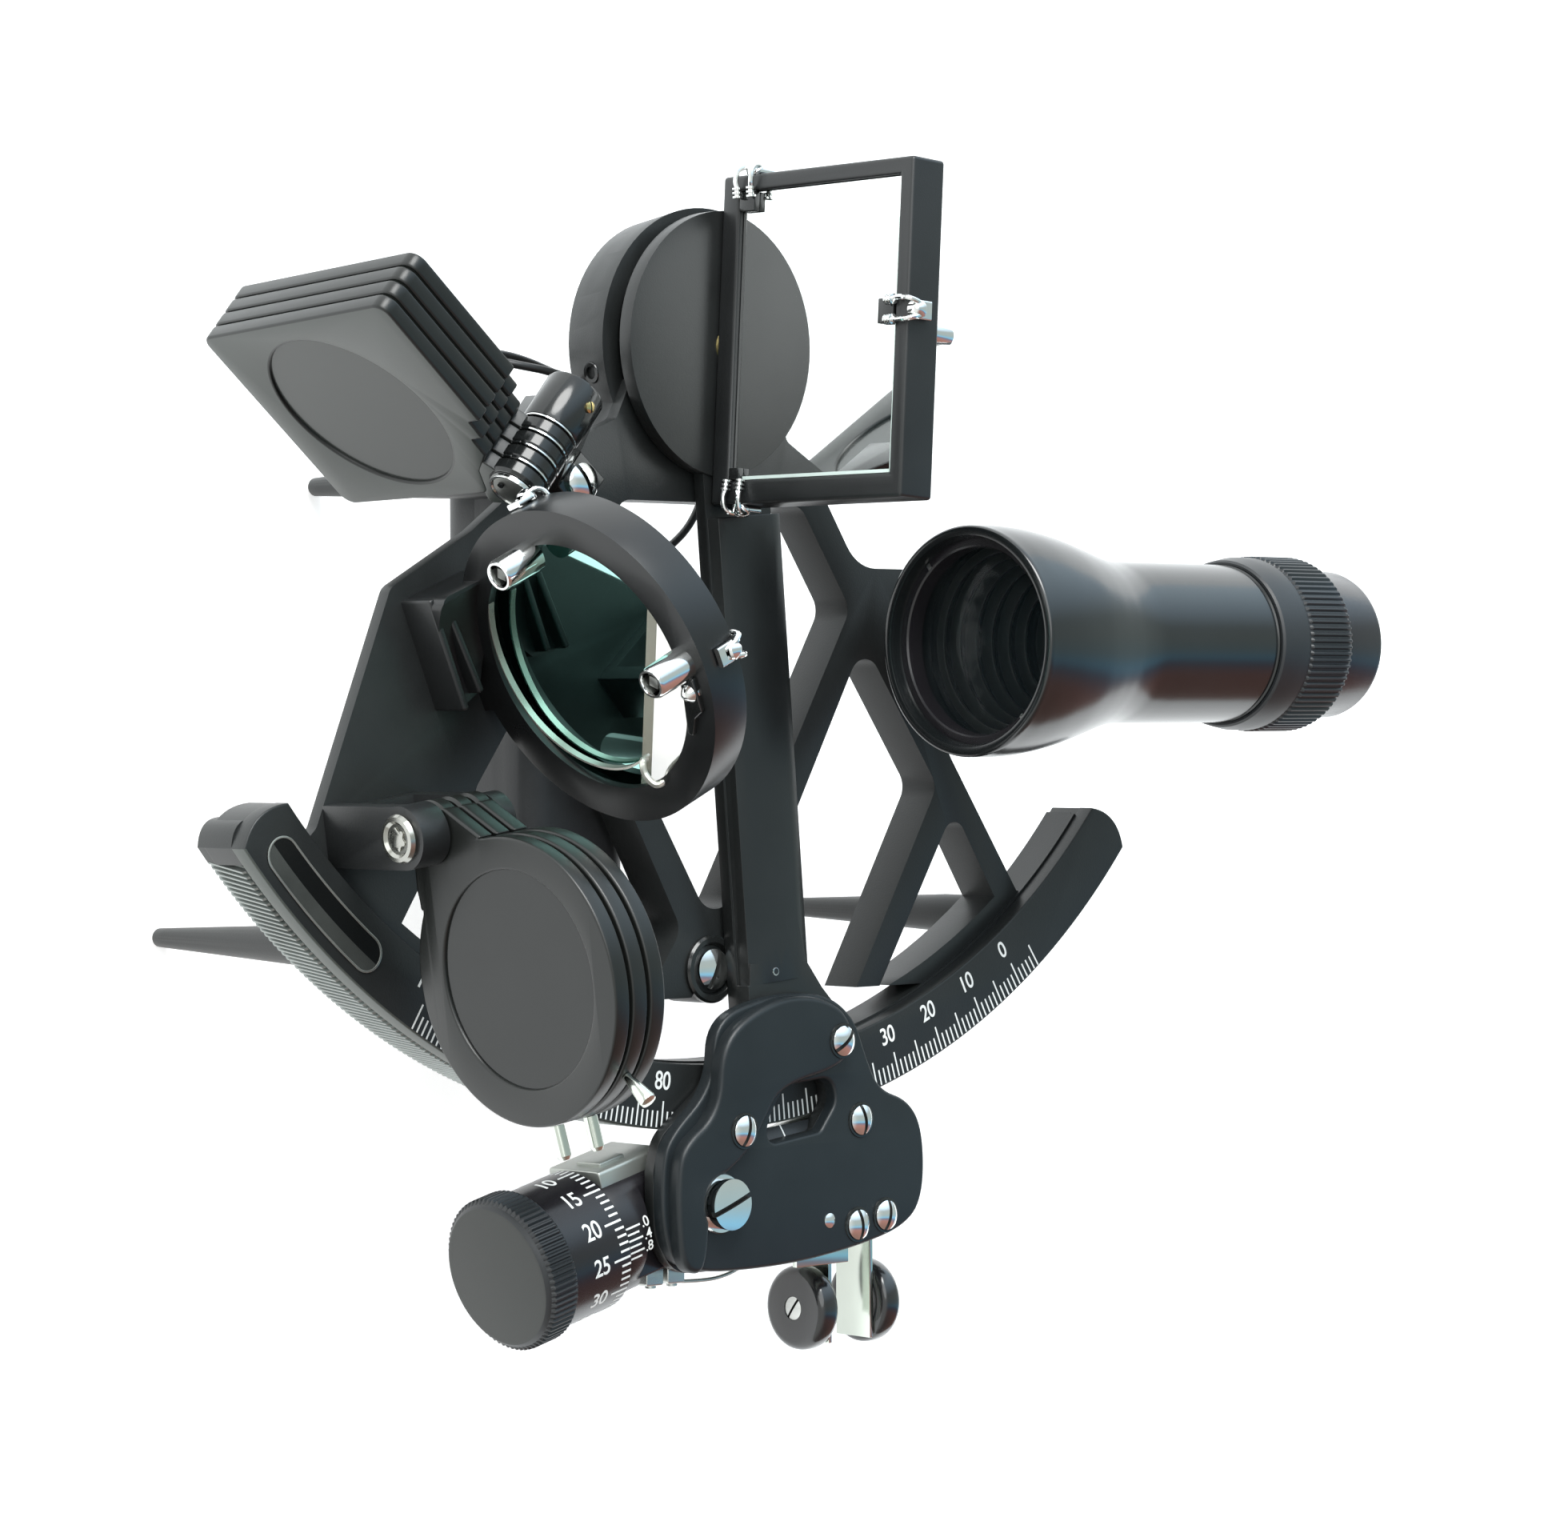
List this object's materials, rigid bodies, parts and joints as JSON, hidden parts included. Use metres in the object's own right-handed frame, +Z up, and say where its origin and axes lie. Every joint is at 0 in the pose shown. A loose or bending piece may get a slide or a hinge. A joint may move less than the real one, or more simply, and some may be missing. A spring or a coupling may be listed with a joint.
{
  "type": "sextant",
  "caption": "Marine sextant with a lattice frame, swinging index arm, micrometer drum, two mirrors, folding shades, telescope, three feet and a rear battery grip.",
  "frame": {"origin": "middle of the bounding box at the level of the three feet", "axes": "+Z up, square to the graduated face, the instrument lying on its feet; +X along the telescope towards its eyepiece; +Y from the arc towards the index mirror"},
  "size_m": [0.2502, 0.2186, 0.1245],
  "materials": {
    "black_casting": "satin black",
    "black_gloss": "semi-gloss black",
    "drum_black": "black anodised",
    "shade_black": "satin black",
    "grip_plastic": "moulded, fine grain",
    "lead_rubber": "soft sheath",
    "plate_grey": "two-tone grey, blank",
    "chrome": "polished",
    "steel": "machined",
    "brass": "machined",
    "mirror_glass": "silvered",
    "shade_glass": "dark neutral filter",
    "lens_glass": "coated lens"
  },
  "bodies": {
    "frame": {"battery_cap": "grip_plastic", "battery_cells": "steel", "frame_casting": "black_casting", "grip_brackets": "black_casting", "grip_front_shell": "grip_plastic", "grip_rear_shell": "grip_plastic", "grip_screws": "chrome", "horizon_adjusters": "chrome", "horizon_mirror_clips": "chrome", "horizon_mirror_glass": "mirror_glass", "horizon_mirror_housing": "black_casting", "horizon_shade_bracket": "black_casting", "horizon_shade_pin": "chrome", "index_shade_bracket": "black_casting", "index_shade_pin": "chrome", "lamp_lead": "lead_rubber", "legs": "black_casting", "limb_arc": "black_casting", "name_plate": "plate_grey", "objective_lens": "lens_glass", "pivot_bush": "brass", "telescope_bracket": "black_casting", "telescope_tube": "black_gloss"},
    "index_arm": {"index_arm": "black_casting", "arm_base_plate": "black_casting", "arm_cover_plate": "black_casting", "arm_screws": "chrome", "carriage_pivot_screw": "chrome", "pivot_shaft": "steel", "index_mirror_housing": "black_casting", "index_mirror_glass": "mirror_glass", "index_mirror_clips": "chrome", "fixed_strip": "steel", "fixed_pad": "black_gloss"},
    "worm_carriage": {"worm_carriage": "black_casting", "vernier_sleeve": "steel", "release_strip": "steel", "release_pad": "black_gloss"},
    "drum": {"worm_shaft": "steel", "micrometer_drum": "drum_black", "drum_knob": "drum_black"},
    "focus_ring": {"focus_ring": "black_gloss"},
    "eyepiece": {"eyepiece": "black_gloss", "eye_lens": "lens_glass"},
    "lamp_button": {"lamp_button": "grip_plastic"},
    "index_shade_1": {"index_shade_1": "shade_black", "index_shade_glass_1": "shade_glass"},
    "index_shade_2": {"index_shade_2": "shade_black", "index_shade_glass_2": "shade_glass"},
    "index_shade_3": {"index_shade_3": "shade_black", "index_shade_glass_3": "shade_glass"},
    "index_shade_4": {"index_shade_4": "shade_black", "index_shade_glass_4": "shade_glass"},
    "horizon_shade_1": {"horizon_shade_1": "shade_black", "horizon_shade_glass_1": "shade_glass"},
    "horizon_shade_2": {"horizon_shade_2": "shade_black", "horizon_shade_glass_2": "shade_glass"},
    "horizon_shade_3": {"horizon_shade_3": "shade_black", "horizon_shade_glass_3": "shade_glass"}
  },
  "joints": [
    {"name": "index_arm_swing", "type": "hinge", "parent": "frame", "child": "index_arm", "pos_m": [-0.01415, 0.076, 0.067], "axis": [0, 0, 1], "range_deg": [-30.5, 30.5]},
    {"name": "worm_release", "type": "hinge", "parent": "index_arm", "child": "worm_carriage", "pos_m": [-0.02235, -0.0784, 0.067], "axis": [0, 0, -1], "range_deg": [0, 5], "stiffness_Nm_per_rad": 1.5, "springref_deg": -2.86},
    {"name": "drum_spin", "type": "hinge", "parent": "worm_carriage", "child": "drum", "pos_m": [0.0218, -0.06818, 0.05825], "axis": [0.9703, 0.2419, 0], "continuous": true},
    {"name": "focus_turn", "type": "hinge", "parent": "frame", "child": "focus_ring", "pos_m": [0.10585, 0.0224, 0.092], "axis": [1, 0, 0], "range_deg": [-150, 150]},
    {"name": "eyepiece_slide", "type": "slide", "parent": "frame", "child": "eyepiece", "axis": [1, 0, 0], "range_m": [-0.0026, 0.0026]},
    {"name": "lamp_button_press", "type": "slide", "parent": "frame", "child": "lamp_button", "axis": [1, 0, 0], "range_m": [0, 0.0014], "stiffness_N_per_m": 400, "springref_m": -0.001},
    {"name": "index_shade_1_flip", "type": "hinge", "parent": "frame", "child": "index_shade_1", "pos_m": [-0.03552, 0.09394, 0.0762], "axis": [0.6428, 0.766, 0], "range_deg": [0, 180]},
    {"name": "index_shade_2_flip", "type": "hinge", "parent": "frame", "child": "index_shade_2", "pos_m": [-0.03552, 0.09394, 0.0762], "axis": [0.6428, 0.766, 0], "range_deg": [0, 180]},
    {"name": "index_shade_3_flip", "type": "hinge", "parent": "frame", "child": "index_shade_3", "pos_m": [-0.03552, 0.09394, 0.0762], "axis": [0.6428, 0.766, 0], "range_deg": [0, 180]},
    {"name": "index_shade_4_flip", "type": "hinge", "parent": "frame", "child": "index_shade_4", "pos_m": [-0.03552, 0.09394, 0.0762], "axis": [0.6428, 0.766, 0], "range_deg": [0, 180]},
    {"name": "horizon_shade_1_flip", "type": "hinge", "parent": "frame", "child": "horizon_shade_1", "pos_m": [-0.10475, -0.011, 0.083], "axis": [-0.9903, -0.1392, 0], "range_deg": [0, 123]},
    {"name": "horizon_shade_2_flip", "type": "hinge", "parent": "frame", "child": "horizon_shade_2", "pos_m": [-0.10475, -0.011, 0.083], "axis": [-0.9903, -0.1392, 0], "range_deg": [0, 123]},
    {"name": "horizon_shade_3_flip", "type": "hinge", "parent": "frame", "child": "horizon_shade_3", "pos_m": [-0.10475, -0.011, 0.083], "axis": [-0.9903, -0.1392, 0], "range_deg": [0, 123]}
  ],
  "couplings": [
    {"joint": "eyepiece_slide", "follows": "focus_turn", "m_per_rad": 0.00095}
  ]
}
